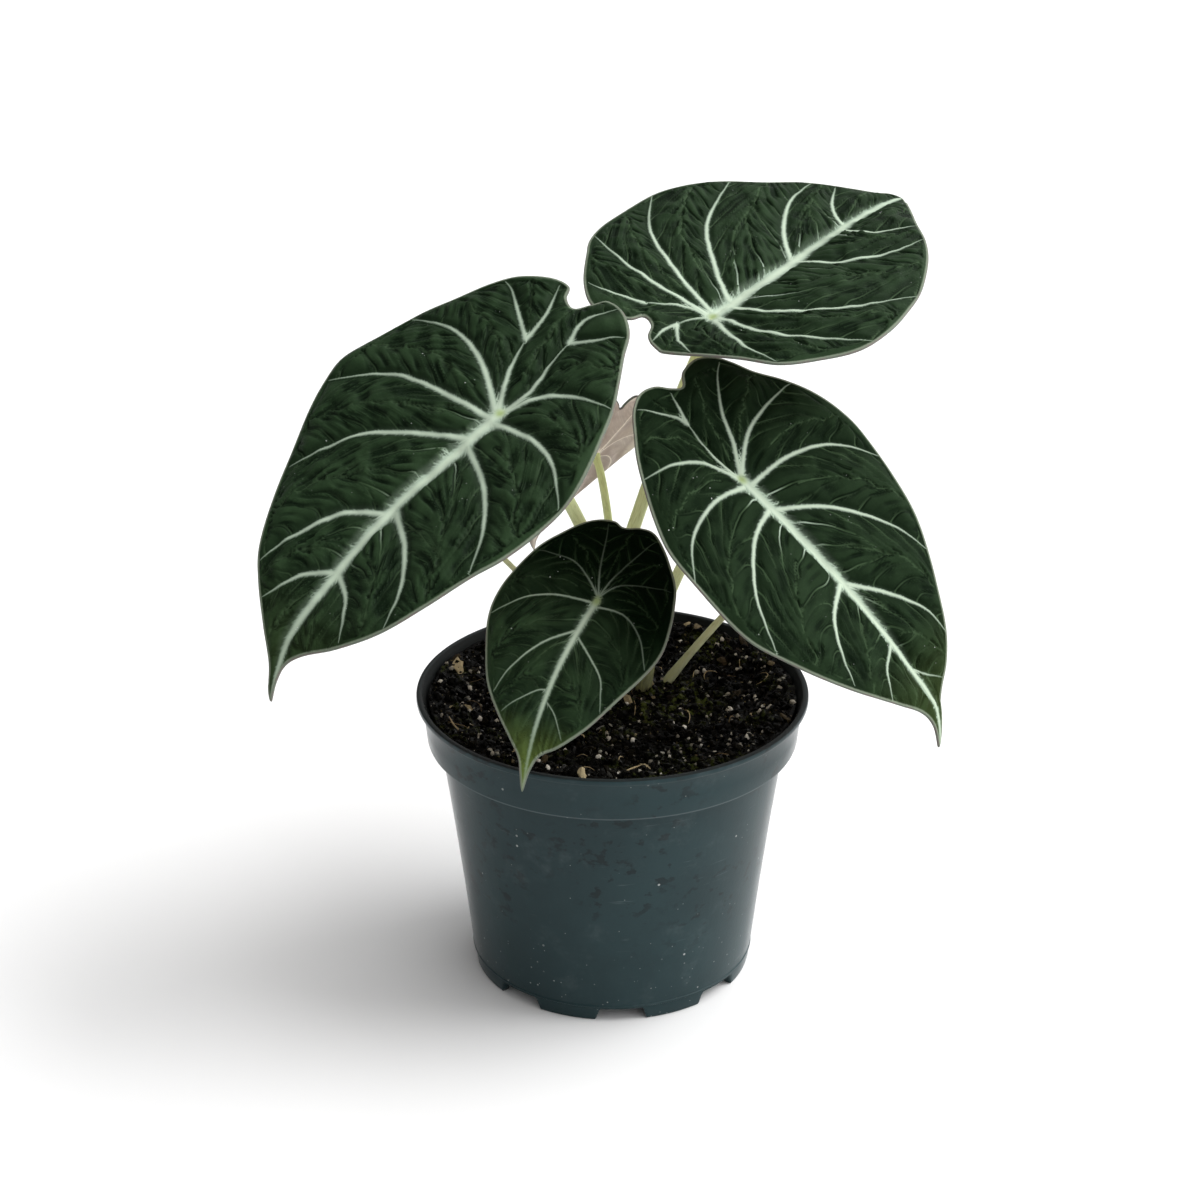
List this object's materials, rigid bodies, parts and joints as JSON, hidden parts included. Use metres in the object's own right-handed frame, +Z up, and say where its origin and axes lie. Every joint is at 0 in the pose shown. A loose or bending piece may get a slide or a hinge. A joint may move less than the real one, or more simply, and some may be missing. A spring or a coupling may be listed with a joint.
{
  "type": "potted houseplant",
  "caption": "Potted alocasia: dark velvety shield-shaped leaves with pale veins on green stalks, in soil in a round plastic nursery pot.",
  "frame": {"origin": "middle of the whole part's bounding box, on the floor plane under the pot's foot", "axes": "+Z up along the pot's axis; the picture is taken from the -Y side, with +X to its right"},
  "size_m": [0.2016, 0.2, 0.22],
  "materials": {
    "pot_plastic": "satin, dusty and scuffed",
    "soil": "damp and crumbly",
    "crown_tissue": "dull",
    "blade": "velvety",
    "young_blade": "velvety",
    "stalk": "satin"
  },
  "bodies": {
    "root": {"pot": "pot_plastic", "soil": "soil", "crown": "crown_tissue", "blade_left": "blade", "petiole_left": "stalk", "blade_top": "blade", "petiole_top": "stalk", "blade_right": "blade", "petiole_right": "stalk", "blade_front": "blade", "petiole_front": "stalk", "blade_back": "blade", "petiole_back": "stalk", "blade_behind_right": "blade", "petiole_behind_right": "stalk", "blade_young": "young_blade", "petiole_young": "stalk"}
  },
  "joints": []
}
